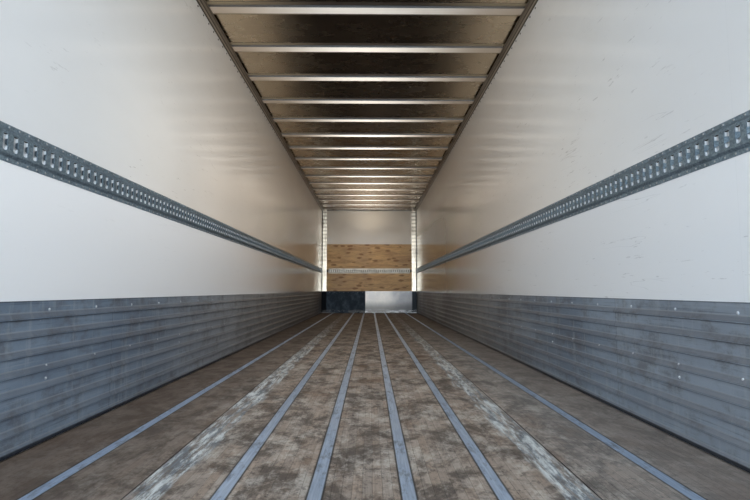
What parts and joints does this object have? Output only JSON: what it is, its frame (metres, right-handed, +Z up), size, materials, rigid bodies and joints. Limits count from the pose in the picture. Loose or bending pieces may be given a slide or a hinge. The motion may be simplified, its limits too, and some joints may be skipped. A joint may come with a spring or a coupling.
{
  "type": "semi-trailer van body",
  "caption": "Long closed van body of a semi-trailer with wood floor, ribbed scuff liners, slotted lashing rails, roof bows and two rear doors folded back along its sides.",
  "frame": {"origin": "on the kingpin's axis at the lower face of the upper coupler plate, where the body rides on a fifth wheel", "axes": "+Y towards the nose, +X to the right of someone looking forward, +Z up"},
  "size_m": [2.754, 16.281, 3.5182],
  "materials": {
    "oak": "weathered laminated hardwood boards, stained and scuffed",
    "plywood": "varnished plywood with brown knots",
    "worn_steel": "steel rubbed bare by traffic",
    "bare_steel": "machined steel with grease",
    "black_steel": "black protective coating",
    "navy_steel": "dark painted steel, scuffed",
    "white_steel": "white enamel on steel",
    "white_panel": "glossy white faced composite plate",
    "white_door": "glossy white faced composite plate",
    "mill_aluminium": "extruded, mill finish",
    "bright_aluminium": "bright extruded trim",
    "liner_aluminium": "ribbed planks, dulled blue-grey",
    "roof_aluminium": "thin reflective sheet",
    "galvanised": "galvanised steel",
    "rubber": "moulded black rubber",
    "red_lens": "moulded red lens",
    "amber_lens": "moulded amber lens",
    "black_plastic": "moulded black plastic"
  },
  "bodies": {
    "van_body": {"bogie_rails": "black_steel", "bottom_rail_left": "mill_aluminium", "bottom_rail_right": "mill_aluminium", "connection_box": "black_plastic", "coupler_beams": "black_steel", "crossmembers": "black_steel", "dock_bumpers": "rubber", "floor_boards": "oak", "floor_strips": "worn_steel", "front_bottom_rail": "mill_aluminium", "front_corner_left": "bright_aluminium", "front_corner_right": "bright_aluminium", "front_header": "mill_aluminium", "front_lining": "plywood", "front_wall": "white_panel", "kick_plate": "navy_steel", "kingpin": "bare_steel", "lamps_amber": "amber_lens", "lamps_red": "red_lens", "landing_gear_brackets": "black_steel", "lashing_rail_front": "galvanised", "lashing_rail_left": "galvanised", "lashing_rail_right": "galvanised", "lock_keepers": "galvanised", "rear_guard": "white_steel", "rear_header": "white_steel", "rear_post_left": "white_steel", "rear_post_right": "white_steel", "rear_sill": "white_steel", "roof_bows": "galvanised", "roof_sheet": "roof_aluminium", "scuff_liner_left": "liner_aluminium", "scuff_liner_right": "liner_aluminium", "side_wall_left": "white_panel", "side_wall_right": "white_panel", "threshold_plate": "worn_steel", "top_rail_left": "mill_aluminium", "top_rail_right": "mill_aluminium", "upper_coupler": "black_steel"},
    "left_door": {"door_panel_left": "white_door", "hinge_straps_left": "galvanised", "lock_rods_left": "galvanised", "rod_guides_left": "galvanised"},
    "right_door": {"door_panel_right": "white_door", "hinge_straps_right": "galvanised", "lock_rods_right": "galvanised", "rod_guides_right": "galvanised"}
  },
  "joints": [
    {"name": "left_door_hinge", "type": "hinge", "parent": "van_body", "child": "left_door", "pos_m": [-1.302, -15.29, 0], "axis": [0, 0, 1], "range_deg": [0, 270]},
    {"name": "right_door_hinge", "type": "hinge", "parent": "van_body", "child": "right_door", "pos_m": [1.302, -15.29, 0], "axis": [0, 0, -1], "range_deg": [0, 270]}
  ]
}
